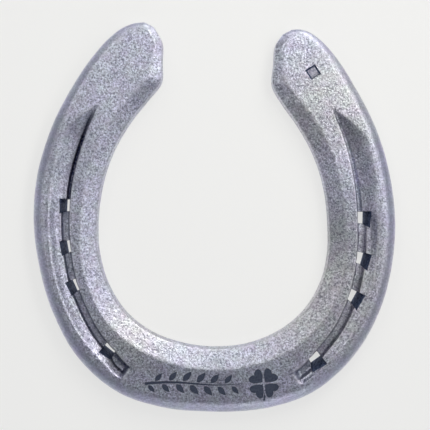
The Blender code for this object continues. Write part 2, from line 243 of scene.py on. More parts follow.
# Where it lies: sections first, and then distances in from a line of the crease.
SHADE_MARGIN = 0.3  # all of it but the end wall stops this far before the heel end
WALL_LINE_END = (8.3, 14.0)  # on the right it goes on for as long as the crease does
HEEL_GROOVE_SHADE_END = 8.1
SURROUND_SHADE_START = 0.9  # past the last hole
SURROUND_SHADE_END = 8.5
LEAF_START = (0.6, 1.0)  # past the last hole
LEAF_END = 9.0
END_SPAN = (-0.02, 0.08)  # from the toe end
WALL_LINE_WIDTH = 0.2
STEP_LINE_MARGIN = 0.1
SURROUND_SHADE_MARGIN = 0.6
POCKET_WIDTH = 1.2
LEAF_MARGINS = ((2.4, 0.5), (0.0, 0.9))  # from the rim and from the groove
LEAF_SOFTNESS = (2.0, 0.3)
LINE_SOFTNESS = 0.1

# What tells the bright edges and the dark hollows of the surface, whose darkness is partly scale and
# partly
# painted shade: how many rounds of averaging a point is compared with, and the height over the average
# that counts in full.
EDGE_ROUNDS = 4
EDGE_HEIGHT = 0.12
CAVITY_ROUNDS = 24
CAVITY_DEPTH = 0.9
CAVITY_START = 0.15
CAVITY_SHARE = 0.25
BAND_FADE = 0.5  # share of the outer bevel over which its rubbed band fades out
FACING_UP = 0.1  # the least Z of a normal on the ground side
PUNCH_FLOOR_SHADE = 0.42

# Broad patches of painted shade, where the skin is painted darker: x, y, reach and strength.
PAINTED_SHADE_PATCHES = (
    (46, -3, 17, 0.28),
    (2, -58, 14, 0.16),
    (-53, 24, 16, 0.2),
    (-24, 44, 9, 0.2),
)

# Broad patches of painted warm light, where the skin is tinted warmer, in the same way.
WARM_LIGHT_PATCHES = (
    (38, -24, 34, 0.9),
    (-28, -41, 16, 0.7),
    (42, 40, 24, 0.8),
)

# The steel's colours, in pairs that its grain and patches mix between, and the sizes of those. Clouds,
# hues and the painted warm light multiply the colour under them.
BLASTED_COLOURS = ((0.226, 0.236, 0.302, 1), (0.788, 0.815, 0.95, 1))
RUBBED_COLOURS = ((0.46, 0.475, 0.60, 1), (0.62, 0.64, 0.79, 1))
CLOUD_COLOURS = ((0.84, 0.79, 0.89, 1), (1.11, 1.15, 1.06, 1))
HUE_COLOURS = ((1.02, 0.988, 1.03, 1), (0.985, 1.014, 0.972, 1))
# The warm tint of the painted warm light.
WARM_LIGHT_TINT = (1.04, 1.015, 0.90, 1)
STAIN_COLOUR = (0.46, 0.41, 0.50, 1)
EDGE_COLOUR = (0.75, 0.75, 0.80, 1)
# The colour of the dark scale and of the painted shade.
SCALE_AND_SHADE_COLOUR = (0.022, 0.03, 0.085, 1)
# Painted shade on the walls of the nail holes and the punch mark.
SHADED_WALL_COLOURS = ((0.02, 0.035, 0.085, 1), (0.16, 0.2, 0.32, 1))
MARK_COLOURS = ((0.035, 0.045, 0.08, 1), (0.07, 0.085, 0.13, 1))
SPOT_SIZE = 0.8
FINE_SIZE = 0.22
CELL_SIZE = 0.42
CLOUD_SIZE = 14.0
STAIN_SIZE = 4.0
HUE_SIZE = 4.5
CELL_SHARE = 0.3  # how much of the grain comes from cells, and not from spots
BAND_SHARE = 0.85
STAIN_SHARE = 0.35
EDGE_SHARE = 0.3
STEEL_ROUGHNESS = (0.34, 0.46)

# The mark at the toe.
MARK_DEPTH = 0.22
MARK_OVERSHOOT = 0.4
SPRIG_START = (-25.0, -59.7)
SPRIG_LENGTH = 35.0
SPRIG_WAVE = 0.5
STEM_START = 0.522  # half the stem's width at its start, and how much of it is lost at its end
STEM_TAPER = 0.45
STEM_STEPS = 40
SPRIG_LEAVES = 13
LEAF_LENGTH = 4.6
LEAF_WIDTH = 2.2
LEAF_STEPS = 14
LEAF_FULLNESS = 0.8  # under 1, a leaf is widest before its middle
LEAF_LEAST_SIZE = 0.7
LEAF_LEAN = math.radians(48)
LEAF_GAP = 0.65
CLOVER_PLACE = (17.7, -59.6)
CLOVER_LEAF = 5.1
CLOVER_HEART = (0.59, 0.45, -0.17, -0.07)  # shares of the cosines that make a leaf's notched heart
CLOVER_HALF_WIDTH = 0.56
CLOVER_GAP = 0.3
CLOVER_TURN = math.radians(5)
CLOVER_STEPS = 40
CLOVER_STEM = 2.9
CLOVER_STEM_START = 3.3
CLOVER_STEM_BEND = 0.5
CLOVER_STEM_WIDTHS = (0.12, 0.28)  # half the width at its start, and what is added by its end
CLOVER_STEM_STEPS = 12

# Material slots of the shoe.
STEEL_INDEX = 0
SHADED_WALL_INDEX = 1
MARK_INDEX = 2
SHARP_ANGLE = math.radians(50)  # edges sharper than this aren't shaded smooth

# The floor, in metres. It glows a little, so that it stays pale in soft light.
FLOOR_HALF_SIDE = 1.5
FLOOR_GAP = 0.05 * MM
FLOOR_COLOUR = (0.24, 0.24, 0.237, 1)
FLOOR_GLOW_COLOUR = (1, 1, 0.985, 1)
FLOOR_GLOW = 0.66

# How high in the sky its brightness starts and ends changing, as sines, and its strength there.
SKY = (0.1, 0.5, 0.5, 0.175)
SKY_COLOUR = (0.89, 0.93, 1.04, 1)

WHITE = (1, 1, 1)
WARM = (1, 0.98, 0.92)

# Name, aim, azimuth and elevation in degrees, distance, size, power and colour. Lengths are in metres.
LIGHTS = (
    ("right_light", (0, 0, 0), 0, 55, 0.65, 0.3, 0.42, WHITE),
    ("low_light", (0, 0, 0), 62, 32, 0.65, 0.3, 1.22, WARM),
    ("back_light", (0, 0, 0), 110, 32, 0.65, 0.3, 0.44, WARM),
    ("left_light", (0, 0, 0), 170, 55, 0.65, 0.3, 0.28, WARM),
    ("toe_light", (0, 0, 0), 280, 32, 0.65, 0.3, 0.40, WHITE),
    ("right_heel_light", (0.035, 0.055, 0), 30, 68, 0.24, 0.1, 0.105, WARM),
    ("left_heel_light", (-0.027, 0.064, 0), 110, 80, 0.24, 0.1, 0.054, WHITE),
)

# The camera, straight above the ground side, in metres but for the sensor.
VIEW_WIDTH = 154.8 * MM
VIEW_CENTRE = (0.2 * MM, 0.8 * MM, 5.8 * MM)
CAMERA_DISTANCE = 0.6
SENSOR_WIDTH = 36.0


def smooth(keys, values, at):
    """Values at the given places on a smooth curve through the keyed values."""
    keys = np.asarray(keys, dtype=float)
    values = np.asarray(values, dtype=float).reshape(len(keys), -1)
    at = np.atleast_1d(np.asarray(at, dtype=float))
    gaps = np.diff(keys)[:, None]
    slopes = np.diff(values, axis=0) / gaps
    inner = (slopes[:-1] * gaps[1:] + slopes[1:] * gaps[:-1]) / (gaps[:-1] + gaps[1:])
    tangents = np.vstack((slopes[:1], inner, slopes[-1:]))
    i = np.clip(np.searchsorted(keys, at, side="right") - 1, 0, len(gaps) - 1)
    t = np.clip((at - keys[i]) / gaps[i, 0], 0, 1)[:, None]
    start = (2 * t**3 - 3 * t**2 + 1) * values[i] + (t**3 - 2 * t**2 + t) * gaps[i] * tangents[i]
    end = (3 * t**2 - 2 * t**3) * values[i + 1] + (t**3 - t**2) * gaps[i] * tangents[i + 1]
    return start + end


def edge_points(places, column):
    """Points of the outer edge (column 0) or the inner edge (column 2) at signed sections."""
    rows = np.array(LEFT_BRANCH[:0:-1] + RIGHT_BRANCH)[:, column : column + 2]
    sections = np.arange(-LAST_SECTION, LAST_SECTION + 1)
    lengths = np.linalg.norm(np.diff(rows, axis=0), axis=1)
    keys = np.concatenate(([0], np.cumsum(lengths)))
    return smooth(keys, rows, np.interp(places, sections, keys))


def by_side(table, places):
    """A smooth value from the left or the right branch's table at signed sections."""
    left = np.array(table["left"])
    right = np.array(table["right"])
    on_left = smooth(left[:, 0], left[:, 1], np.abs(places))[:, 0]
    on_right = smooth(right[:, 0], right[:, 1], np.abs(places))[:, 0]
    return np.where(np.asarray(places) < 0, on_left, on_right)


def side_value(pair, places):
    """The left or the right branch's value at signed sections."""
    return np.where(np.asarray(places) < 0, pair["left"], pair["right"])


def bevels_at(places):
    """Width and drop of the outer bevel, then of the inner bevel, at signed sections."""
    table = np.array(BEVELS)
    return smooth(table[:, 0], table[:, 1:], np.abs(places))


def crease_strength(places):
    """How much of its full depth and width the crease has at signed sections, from 0 to 1."""
    to_heel = (side_value(CREASE_HEEL_END, places) - np.abs(places)) * SECTION_PITCH / CREASE_FADE
    return np.sin(np.clip(to_heel, 0, 1) * math.pi / 2)


def crease_lines(places):
    """The crease's inner wall, floor edge, groove edge, slope foot and rim, from the outer edge."""
    wall = by_side(CREASE_WALL, places)
    full_width = smooth(*zip(*CREASE_WIDTH), np.abs(places))[:, 0]
    width = np.maximum(full_width * crease_strength(places), CREASE_LEAST_WIDTH)
    groove = np.minimum(by_side(GROOVE_WIDTH, places), GROOVE_SHARE * width)
    lean = np.minimum(WALL_LEAN, groove / 3)
    step = np.minimum(side_value(GROOVE_STEP, places), groove / 3)
    return np.stack((wall, wall - lean, wall - groove, wall - groove - step, wall - width), axis=1)


def crease_depths(places, distances):
    """Depth of the crease at each point across each section: its outer slope is hollow."""
    started = np.clip((np.abs(places) - side_value(CREASE_TOE_END, places)) / TOE_END_STEP, 0, 1)
    depth = CREASE_DEPTH * crease_strength(places) * started
    wall, floor_edge, groove_edge, slope_foot, rim = crease_lines(places).T[:, :, None]
    down_wall = np.clip((wall - distances) / (wall - floor_edge), 0, 1)
    down_slope = np.clip((distances - rim) / (slope_foot - rim), 0, 1)
    down_slope = down_slope**2 / (down_slope + RIM_SOFTNESS) * (1 + RIM_SOFTNESS)
    down_step = np.clip((distances - slope_foot) / (groove_edge - slope_foot), 0, 1)
    share = by_side(SLOPE_SHARE, places)[:, None]
    hollow = by_side(SLOPE_HOLLOW, places)[:, None]
    outer = share * (1 - (1 - down_slope) ** hollow) + (1 - share) * down_step
    return np.minimum(down_wall, outer) * depth[:, None]


def between(lines, counts):
    """Columns that divide each stretch between two neighbouring lines into equal steps."""
    columns = []
    for line, following, count in zip(lines, lines[1:], counts):
        columns += [line + (following - line) * i / count for i in range(count)]
    return np.stack(columns + [lines[-1]], axis=1)


def ground_columns(places, web):
    """Each section's points across the ground side, as distances from the outer edge."""
    bevels = bevels_at(places)
    outer_width = np.minimum(bevels[:, 0], web * MOST_BEVEL)
    inner_width = np.minimum(bevels[:, 2], web * MOST_BEVEL)
    wall, floor_edge, groove_edge, slope_foot, rim = crease_lines(places).T
    natural_web = np.maximum(web, FULL_WEB)
    natural_land = natural_web - bevels[:, 0] - bevels[:, 2]
    land = web - outer_width - inner_width
    middle = [rim, slope_foot, groove_edge, floor_edge, wall]
    middle = [outer_width + (x - bevels[:, 0]) * land / natural_land for x in middle]
    draft = np.minimum(INNER_DRAFT, inner_width / 2)
    lines = [0 * web, outer_width, *middle, web - inner_width, web - draft]
    counts = (
        BEVEL_COLUMNS,
        LAND_COLUMNS,
        SLOPE_COLUMNS,
        STEP_COLUMNS,
        FLOOR_COLUMNS,
        WALL_COLUMNS,
        INNER_LAND_COLUMNS,
        INNER_BEVEL_COLUMNS,
    )
    return between(lines, counts)


def edge_line(column):
    """Close points along an edge. The outer edge's line goes on across both heel tips."""
    samples = edge_points(np.linspace(-LAST_SECTION, LAST_SECTION, EDGE_SAMPLES), column)
    count = math.ceil(np.linalg.norm(np.diff(samples, axis=0), axis=1).sum() / EDGE_SPACING)
    edge = edge_points(np.linspace(-LAST_SECTION, LAST_SECTION, count), column)
    if column == 2:
        return edge
    tips = edge_points([-LAST_SECTION, LAST_SECTION], 2)
    steps = math.ceil(np.linalg.norm(tips[0] - edge[0]) / EDGE_SPACING)
    shares = np.linspace(1, 0, steps)[:-1, None]
    across_left = edge[0] + (tips[0] - edge[0]) * shares
    across_right = edge[-1] + (tips[1] - edge[-1]) * shares
    return np.concatenate((across_left, edge, across_right[::-1]))


def distance_to_edge(points, column):
    """Distances in the plane from the points to the outer or the inner edge."""
    edge = edge_line(column)
    tangents = np.gradient(edge, axis=0)
    tangents /= np.linalg.norm(tangents, axis=1)[:, None]
    tree = kdtree.KDTree(len(edge))
    for i, (x, y) in enumerate(edge):
        tree.insert((x, y, 0), i)
    tree.balance()
    nearest = np.array([tree.find((x, y, 0))[1] for x, y in points])
    offsets = points - edge[nearest]
    along = (offsets * tangents[nearest]).sum(axis=1)
    beyond = np.maximum(np.abs(along) - 2 * EDGE_SPACING, 0)
    across = offsets[:, 0] * tangents[nearest, 1] - offsets[:, 1] * tangents[nearest, 0]
    return np.hypot(across, beyond)


def ground_heights(places, points, distances):
    """Height of each point of the ground side, with both bevels and the crease taken off."""
    flat = points.reshape(-1, 2)
    to_outer = distance_to_edge(flat, 0).reshape(distances.shape)
    to_inner = distance_to_edge(flat, 2).reshape(distances.shape)
    bevels = bevels_at(places)[:, :, None]
    rounded = np.clip(1 - to_outer / bevels[:, 0], 0, 1)
    sloped = np.clip(1 - (to_inner - INNER_DRAFT) / (bevels[:, 2] - INNER_DRAFT), 0, 1)
    drop = np.maximum(bevels[:, 1] * rounded**2, bevels[:, 3] * sloped)
    return TOP - drop - crease_depths(places, distances)


def window(values, low, high, softness):
    """1 from low to high, falling to 0 over the softness outside them."""
    above_low = np.clip((values - low) / softness + 1, 0, 1)
    below_high = np.clip((high - values) / softness + 1, 0, 1)
    return above_low * below_high


def crease_shade_shares(places, distances):
    """How dark the painted shade in the crease is at each point across each section, partly dark scale
    at the foot of its wall.

    The last number of each window is the length over which it fades out.
    """
    places = places[:, None]
    section = np.abs(places)
    wall, _, groove_edge, slope_foot, rim = crease_lines(places[:, 0]).T[:, :, None]
    toe_end = side_value(CREASE_TOE_END, places)
    heel_end = side_value(CREASE_HEEL_END, places)
    first_hole = side_value({side: holes[0] for side, holes in NAIL_SECTIONS.items()}, places)
    last_hole = side_value({side: holes[-1] for side, holes in NAIL_SECTIONS.items()}, places)
    by_toe = window(section, toe_end, first_hole, 0.05)

    def of_branch(pair):
        return np.where(places < 0, *pair)

    def along_toe(dark_scale_and_shade):
        full, toeward = (of_branch(pair) for pair in dark_scale_and_shade)
        return full - (full - toeward) * by_toe

    floor = window(distances, groove_edge, wall, LINE_SOFTNESS)
    wall_line = window(distances, wall - WALL_LINE_WIDTH, wall, LINE_SOFTNESS)
    wall_line = wall_line * along_toe(WALL_SCALE_AND_SHADE) * window(section, 0, of_branch(WALL_LINE_END), 0.4)
    step_line = window(distances, slope_foot + STEP_LINE_MARGIN, groove_edge, LINE_SOFTNESS)
    step_line = step_line * along_toe(STEP_SHADE) * window(section, 0, last_hole, 0.2)
    by_holes = floor * of_branch(GROOVE_FLOOR_SHADE) * window(section, 0, last_hole, 0.4)
    past_holes = window(section, last_hole, HEEL_GROOVE_SHADE_END, 0.5)
    past_holes = floor * of_branch(HEEL_GROOVE_SHADE) * past_holes
    # A soft painted shade round the groove's floor past the holes.
    surround_shade = window(distances, groove_edge - SURROUND_SHADE_MARGIN, wall, 1.2)
    surround_shade = surround_shade * of_branch(SURROUND_SHADE) * window(section, last_hole + SURROUND_SHADE_START, SURROUND_SHADE_END, 0.5)
    pocket = window(distances, wall - POCKET_WIDTH, wall, 0.5) * of_branch(POCKET_SHADE) * by_toe
    from_rim, from_groove = (of_branch(pair) for pair in LEAF_MARGINS)
    leaf = window(distances, rim + from_rim, groove_edge - from_groove, of_branch(LEAF_SOFTNESS))
    leaf = leaf * of_branch(LEAF_SHADE)
    leaf = leaf * window(section, last_hole + of_branch(LEAF_START), LEAF_END, 0.7)

    strokes = np.max((wall_line, step_line, by_holes, past_holes, surround_shade, pocket, leaf), axis=0)
    strokes = strokes * window(section, toe_end, heel_end - SHADE_MARGIN, 0.25)
    end = window(section, toe_end + END_SPAN[0], toe_end + END_SPAN[1], 0.02)
    end = end * window(distances, rim, wall, LINE_SOFTNESS) * of_branch(END_WALL_SHADE)
    return np.maximum(strokes, end)


def patch_shares(points, patches):
    """How strong the given patches, which fade out all round, are at each point."""
    strength = np.zeros(len(points))
    for x, y, reach, amount in patches:
        away = np.hypot(points[:, 0] - x, points[:, 1] - y) / reach
        strength = np.maximum(strength, amount * np.clip(1 - away**2, 0, 1))
    return strength


def bevel_widths(points):
    """The outer bevel's width near each point: full as far as the quarters, and less at the heels."""
    table = np.array(BEVELS)
    sections = np.interp(points[:, 1], *zip(*SECTION_BY_Y))
    return smooth(table[:, 0], table[:, 1], sections)[:, 0]


def rounded_tip(section, outer, inner, side):
    """Further rows past the last section that draw it round to its middle."""
    middle = np.array([*(outer + inner) / 2, 0])
    radius = np.linalg.norm(inner - outer) / 2
    across = (inner - outer) / np.linalg.norm(inner - outer)
    ahead = np.array((-across[1], across[0], 0)) * side
    rows = []
    for i in range(1, TIP_ROWS + 1):
        turn = math.pi / 2 * i / (TIP_ROWS + 0.5)
        drawn_in = (section - middle) * (math.cos(turn), math.cos(turn), 1)
        rows.append(middle + drawn_in + ahead * radius * TIP_BULGE * math.sin(turn))
    return np.array(rows)


def bar_sections(places):
    """Every section's points round the bar, with both tips, and the darkness of the crease's painted
    shade at each point.
    """
    outer = edge_points(places, 0)
    inner = edge_points(places, 2)
    web = np.linalg.norm(inner - outer, axis=1)
    inward = (inner - outer) / web[:, None]
    distances = ground_columns(places, web)
    plan = outer[:, None, :] + inward[:, None, :] * distances[:, :, None]
    ground = np.dstack((plan, ground_heights(places, plan, distances)))
    chamfer = FOOT_CHAMFER * np.minimum(1, web / FULL_WEB)[:, None]
    heel = np.full((len(places), 1), FOOT_CHAMFER)
    foot = np.zeros((len(places), 1))
    corners = [
        ground[:, -1],
        np.hstack((inner, heel)),
        np.hstack((inner - inward * chamfer, foot)),
        np.hstack((outer + inward * chamfer, foot)),
        np.hstack((outer, heel)),
        ground[:, 0],
    ]
    around = between(corners, (SIDE_COLUMNS, 1, FOOT_COLUMNS, 1, SIDE_COLUMNS))
    rings = np.concatenate((ground, around[:, 1:-1]), axis=1)
    left_tip = rounded_tip(rings[0], outer[0], inner[0], -1)
    right_tip = rounded_tip(rings[-1], outer[-1], inner[-1], 1)
    dark_scale_and_shade = np.zeros((len(rings) + 2 * TIP_ROWS, rings.shape[1]))
    dark_scale_and_shade[TIP_ROWS:-TIP_ROWS, : distances.shape[1]] = crease_shade_shares(places, distances)
    return np.concatenate((left_tip[::-1], rings, right_tip)), dark_scale_and_shade


def bar_mesh():
    """The bent bar: a loft from heel to heel, because its section changes all along."""
    sections, dark_scale_and_shade = bar_sections(np.linspace(-LAST_SECTION, LAST_SECTION, ROWS))
    rows, columns = dark_scale_and_shade.shape
    first = np.arange(rows * columns).reshape(rows, columns)
    following = np.roll(first, -1, axis=1)
    quads = np.stack((first[:-1], first[1:], following[1:], following[:-1]), axis=2).reshape(-1, 4)
    mesh = bpy.data.meshes.new("shoe")
    faces = [*quads.tolist(), first[0].tolist(), first[-1][::-1].tolist()]
    mesh.from_pydata((sections.reshape(-1, 3) * MM).tolist(), [], faces)
    solid = bmesh.new()
    solid.from_mesh(mesh)
    bmesh.ops.recalc_face_normals(solid, faces=solid.faces)
    solid.to_mesh(mesh)
    solid.free()
    return mesh, dark_scale_and_shade.ravel()


def mesh_points(mesh):
    points = np.empty(len(mesh.vertices) * 3)
    mesh.vertices.foreach_get("co", points)
    return points.reshape(-1, 3) / MM


def mesh_normals(mesh):
    normals = np.empty(len(mesh.vertices) * 3)
    mesh.vertices.foreach_get("normal", normals)
    return normals.reshape(-1, 3)


def set_points(mesh, points):
    mesh.vertices.foreach_set("co", (points * MM).ravel())
    mesh.update()


def edge_pairs(mesh):
    pairs = np.empty(len(mesh.edges) * 2, dtype=np.int64)
    mesh.edges.foreach_get("vertices", pairs)
    return pairs.reshape(-1, 2)


def averaged(values, pairs, rounds=1):
    """Values at the points, each replaced by the mean of its neighbours, the given number of times."""
    count = np.bincount(pairs.ravel(), minlength=len(values))
    for _ in range(rounds):
        columns = []
        for column in values.T:
            total = np.bincount(pairs[:, 0], column[pairs[:, 1]], len(values))
            total += np.bincount(pairs[:, 1], column[pairs[:, 0]], len(values))
            columns.append(total / count)
        values = np.stack(columns, axis=1)
    return values


def baked_mesh(item):
    """The item's mesh with its modifiers applied."""
    graph = bpy.context.evaluated_depsgraph_get()
    graph.update()
    mesh = bpy.data.meshes.new_from_object(item.evaluated_get(graph))
    item.modifiers.clear()
    old = item.data
    item.data = mesh
    bpy.data.meshes.remove(old)
    return mesh


def add_object(name, mesh):
    item = bpy.data.objects.new(name, mesh)
    bpy.context.scene.collection.objects.link(item)
    return item


def wander(points, size, seed):
    """Smooth noise between about -1 and 1 whose swells are the given size across."""
    offset = Vector([seed * step for step in NOISE_STEPS])
    return np.array([noise.fractal(Vector(p) / size + offset, *NOISE_KIND) for p in points])


def forged(points, normals):
    """Points moved by the swells and dents of forging, always inwards from the frame's surface."""
    fade = np.clip(points[:, 2] / DENT_FADE, 0, 1)
    move = -DENT_ROOM
    for seed, (depth, size) in enumerate((SWELL, DENT, PITTING), start=1):
        move = move + depth * wander(points, size, seed)
    moved = points + normals * (move * fade)[:, None]
    moved[:, 2] = np.clip(moved[:, 2], 0, TOP)
    return moved


def frustum(top, foot, top_height, foot_height):
    """A four-sided block. Each end is its reach to +X, its reach to -X at its low and at its high
    side, and then where its low side and its high side lie along Y."""
    solid = bmesh.new()
    bmesh.ops.create_cube(solid, size=2)
    for vert in solid.verts:
        ahead, back_low, back_high, low, high = top if vert.co.z > 0 else foot
        back = back_high if vert.co.y > 0 else back_low
        vert.co.x = ahead if vert.co.x > 0 else -back
        vert.co.y = high if vert.co.y > 0 else low
        vert.co.z = top_height if vert.co.z > 0 else foot_height
    return solid


def square(side):
    """A square end for a four-sided block."""
    return (side / 2, side / 2, side / 2, -side / 2, side / 2)


def mirrored(block):
    """The block with its X turned round."""
    for vert in block.verts:
        vert.co.x = -vert.co.x
    bmesh.ops.reverse_faces(block, faces=block.faces)
    return block


def extended(top, foot, top_height, foot_height, overshoot):
    """The frustum's two ends moved out past its heights, with its sides kept in line."""
    span = (top_height - foot_height) / overshoot
    top_end = [a + (a - b) / span for a, b in zip(top, foot)]
    foot_end = [b - (a - b) / span for a, b in zip(top, foot)]
    return top_end, foot_end, top_height + overshoot, foot_height - overshoot


def add_block(cutter, block, place, angle, material_index=None):
    """The block's points, turned and placed, added to the cutter. The block is in millimetres."""
    cosine = math.cos(angle)
    sine = math.sin(angle)
    made = {}
    for vert in block.verts:
        x, y, z = vert.co
        at = (place[0] + x * cosine - y * sine, place[1] + x * sine + y * cosine, z)
        made[vert] = cutter.verts.new([value * MM for value in at])
    for face in block.faces:
        copy = cutter.faces.new([made[vert] for vert in face.verts])
        copy.material_index = face.material_index if material_index is None else material_index
    block.free()


def add_nail_holes(cutter):
    """One tapered hole for each nail, square to the branch and against the crease's wall."""
    for sign, side in ((-1, "left"), (1, "right")):
        for section in NAIL_SECTIONS[side]:
            place = np.array([sign * section])
            outer = edge_points(place, 0)[0]
            inward = edge_points(place, 2)[0] - outer
            inward /= np.linalg.norm(inward)
            centre = outer + inward * by_side(CREASE_WALL, place)[0]
            block = frustum(*extended(NAIL_TOP[side], NAIL_FOOT[side], TOP, 0, NAIL_OVERSHOOT))
            if side == "left":
                block = mirrored(block)
            angle = math.atan2(inward[1], inward[0]) - math.pi / 2
            add_block(cutter, block, centre, angle, SHADED_WALL_INDEX)


def add_punch(cutter):
    """The square punch mark. Three of its walls get painted shade, and the toeward one and the floor
    keep the steel.
    """
    above = PUNCH_TOP_SIDE + (PUNCH_TOP_SIDE - PUNCH_FLOOR_SIDE) * MARK_OVERSHOOT / PUNCH_DEPTH
    ends = (square(above), square(PUNCH_FLOOR_SIDE))
    block = frustum(*ends, TOP + MARK_OVERSHOOT, TOP - PUNCH_DEPTH)
    block.normal_update()
    for face in block.faces:
        unshaded = face.normal.y < -0.5 or abs(face.normal.z) > 0.9
        face.material_index = STEEL_INDEX if unshaded else SHADED_WALL_INDEX
    add_block(cutter, block, PUNCH_PLACE, PUNCH_ANGLE)


def leaf_outline(length, width):
    """A pointed leaf along +X from its base."""
    shares = [i / LEAF_STEPS for i in range(1, LEAF_STEPS)]
    halves = [width / 2 * math.sin(math.pi * share**LEAF_FULLNESS) for share in shares]
    upper = [(share * length, half) for share, half in zip(shares, halves)]
    lower = [(x, -y) for x, y in upper]
    return [(0, 0)] + lower + [(length, 0)] + upper[::-1]


def placed(outline, place, angle):
    """The outline's points, turned about its own origin and then moved to its place."""
    cosine = math.cos(angle)
    sine = math.sin(angle)
    return [(place[0] + x * cosine - y * sine, place[1] + x * sine + y * cosine) for x, y in outline]


def stem_outline(middle, half_width, steps):
    """A thin band whose middle line and half width are functions of the share along it."""
    shares = [i / steps for i in range(steps + 1)]
    lower = [(middle(share)[0], middle(share)[1] - half_width(share)) for share in shares]
    upper = [(middle(share)[0], middle(share)[1] + half_width(share)) for share in shares]
    return lower + upper[::-1]


def sprig_point(share):
    """A point on the middle of the sprig's stem."""
    wave = SPRIG_WAVE * math.sin(share * 2 * math.pi)
    return SPRIG_START[0] + share * SPRIG_LENGTH, SPRIG_START[1] + wave


def sprig_half_width(share):
    return STEM_START - STEM_TAPER * share


def sprig_outlines():
    """The sprig: a waved stem that thins to its end, with leaves above and below in turn."""
    outlines = [stem_outline(sprig_point, sprig_half_width, STEM_STEPS)]
    for i in range(SPRIG_LEAVES):
        share = (i + 0.5) / (SPRIG_LEAVES + 1)
        side = 1 if i % 2 else -1
        x, y = sprig_point(share)
        size = LEAF_LEAST_SIZE + (1 - LEAF_LEAST_SIZE) * math.sin(math.pi * share)
        leaf = leaf_outline(LEAF_LENGTH * size, LEAF_WIDTH * size)
        outlines.append(placed(leaf, (x, y + side * LEAF_GAP), side * LEAF_LEAN))
    return outlines


def clover_leaf(angle):
    """One heart-shaped leaf whose point is near the clover's middle."""
    points = []
    for i in range(CLOVER_STEPS):
        turn = 2 * math.pi * i / CLOVER_STEPS
        along = sum(part * math.cos(k * turn) for k, part in enumerate(CLOVER_HEART))
        across = CLOVER_HALF_WIDTH * math.sin(turn) ** 3
        points.append((CLOVER_LEAF * along + CLOVER_GAP, CLOVER_LEAF * across))
    return placed(points, CLOVER_PLACE, angle)


def clover_stem_point(share):
    """A point on the middle of the clover's stem, before it is turned down."""
    return CLOVER_STEM_START + share * CLOVER_STEM, -CLOVER_STEM_BEND * share**2


def clover_stem_half_width(share):
    return CLOVER_STEM_WIDTHS[0] + CLOVER_STEM_WIDTHS[1] * share


def clover_outlines():
    """Four heart-shaped leaves, and a curved stem in the gap between the lower two."""
    outlines = [clover_leaf(CLOVER_TURN + math.pi / 4 + i * math.pi / 2) for i in range(4)]
    stem = stem_outline(clover_stem_point, clover_stem_half_width, CLOVER_STEM_STEPS)
    return outlines + [placed(stem, CLOVER_PLACE, CLOVER_TURN - math.pi / 2)]


def add_marks(cutter):
    """The mark's outlines as upright prisms down to the mark's floor."""
    for outline in sprig_outlines() + clover_outlines():
        block = bmesh.new()
        face = block.faces.new([block.verts.new((x, y, TOP - MARK_DEPTH)) for x, y in outline])
        lifted = bmesh.ops.extrude_face_region(block, geom=[face])["geom"]
        verts = [item for item in lifted if isinstance(item, bmesh.types.BMVert)]
        bmesh.ops.translate(block, verts=verts, vec=(0, 0, MARK_DEPTH + MARK_OVERSHOOT))
        bmesh.ops.recalc_face_normals(block, faces=block.faces)
        add_block(cutter, block, (0, 0), 0, MARK_INDEX)


def cut_holes_and_marks(shoe):
    """Cuts the nail holes, the punch mark and the toe's mark, whose faces keep their own materials."""
    solid = bmesh.new()
    add_nail_holes(solid)
    add_punch(solid)
    add_marks(solid)
    mesh = bpy.data.meshes.new("cutter")
    solid.to_mesh(mesh)
    solid.free()
    for material in shoe.data.materials:
        mesh.materials.append(material)
    cutter = add_object("cutter", mesh)
    cut = shoe.modifiers.new("cut", "BOOLEAN")
    cut.operation = "DIFFERENCE"
    cut.object = cutter
    cut.solver = "EXACT"
    cut.material_mode = "INDEX"
    made = baked_mesh(shoe)
    bpy.data.objects.remove(cutter)
    return made


def set_attribute(mesh, name, values):
    attribute = mesh.attributes.new(name, "FLOAT", "POINT")
    attribute.data.foreach_set("value", values.astype(np.float32))


class Tree:
    """A material's nodes, added one after another."""

    def __init__(self, name):
        self.material = bpy.data.materials.new(name)
        self.material.use_nodes = True
        self.nodes = self.material.node_tree.nodes
        self.links = self.material.node_tree.links
        self.shader = self.nodes["Principled BSDF"]

    def add(self, kind, inputs=None, **settings):
        node = self.nodes.new(kind)
        for key, value in settings.items():
            setattr(node, key, value)
        for key, value in (inputs or {}).items():
            self.feed(node.inputs[key], value)
        return node

    def feed(self, socket, value):
        if isinstance(value, bpy.types.NodeSocket):
            self.links.new(value, socket)
        else:
            socket.default_value = value

    def math(self, operation, a, b, clamp=False):
        node = self.add("ShaderNodeMath", {0: a, 1: b}, operation=operation, use_clamp=clamp)
        return node.outputs[0]

    def spread(self, value, low, high, to_low=0.0, to_high=1.0):
        """The value's range from low to high, spread over another range and clamped."""
        node = self.add(
            "ShaderNodeMapRange",
            {"Value": value, "From Min": low, "From Max": high, "To Min": to_low, "To Max": to_high},
        )
        return node.outputs["Result"]

    def mix(self, share, a, b, blend_type="MIX"):
        node = self.add("ShaderNodeMix", data_type="RGBA", blend_type=blend_type)
        self.feed(node.inputs["Factor"], share)
        self.feed(node.inputs[6], a)
        self.feed(node.inputs[7], b)
        return node.outputs[2]

    def attribute(self, name):
        return self.add("ShaderNodeAttribute", attribute_name=name).outputs["Fac"]

    def noise(self, places, size, detail, roughness):
        """Noise from about 0.3 to 0.7 whose spots are the given number of millimetres across."""
        inputs = {"Vector": places, "Scale": 1 / size, "Detail": detail, "Roughness": roughness}
        return self.add("ShaderNodeTexNoise", inputs).outputs["Fac"]

    def add_bump(self, height, strength, distance):
        """Relief on the surface, whose distance is in millimetres."""
        inputs = {"Height": height, "Strength": strength, "Distance": distance * MM}
        self.feed(self.shader.inputs["Normal"], self.add("ShaderNodeBump", inputs).outputs["Normal"])


def millimetres(tree):
    """The object's own coordinates in millimetres."""
    places = tree.add("ShaderNodeTexCoord").outputs["Object"]
    return tree.add("ShaderNodeMapping", {"Vector": places, "Scale": (1 / MM,) * 3}).outputs[0]


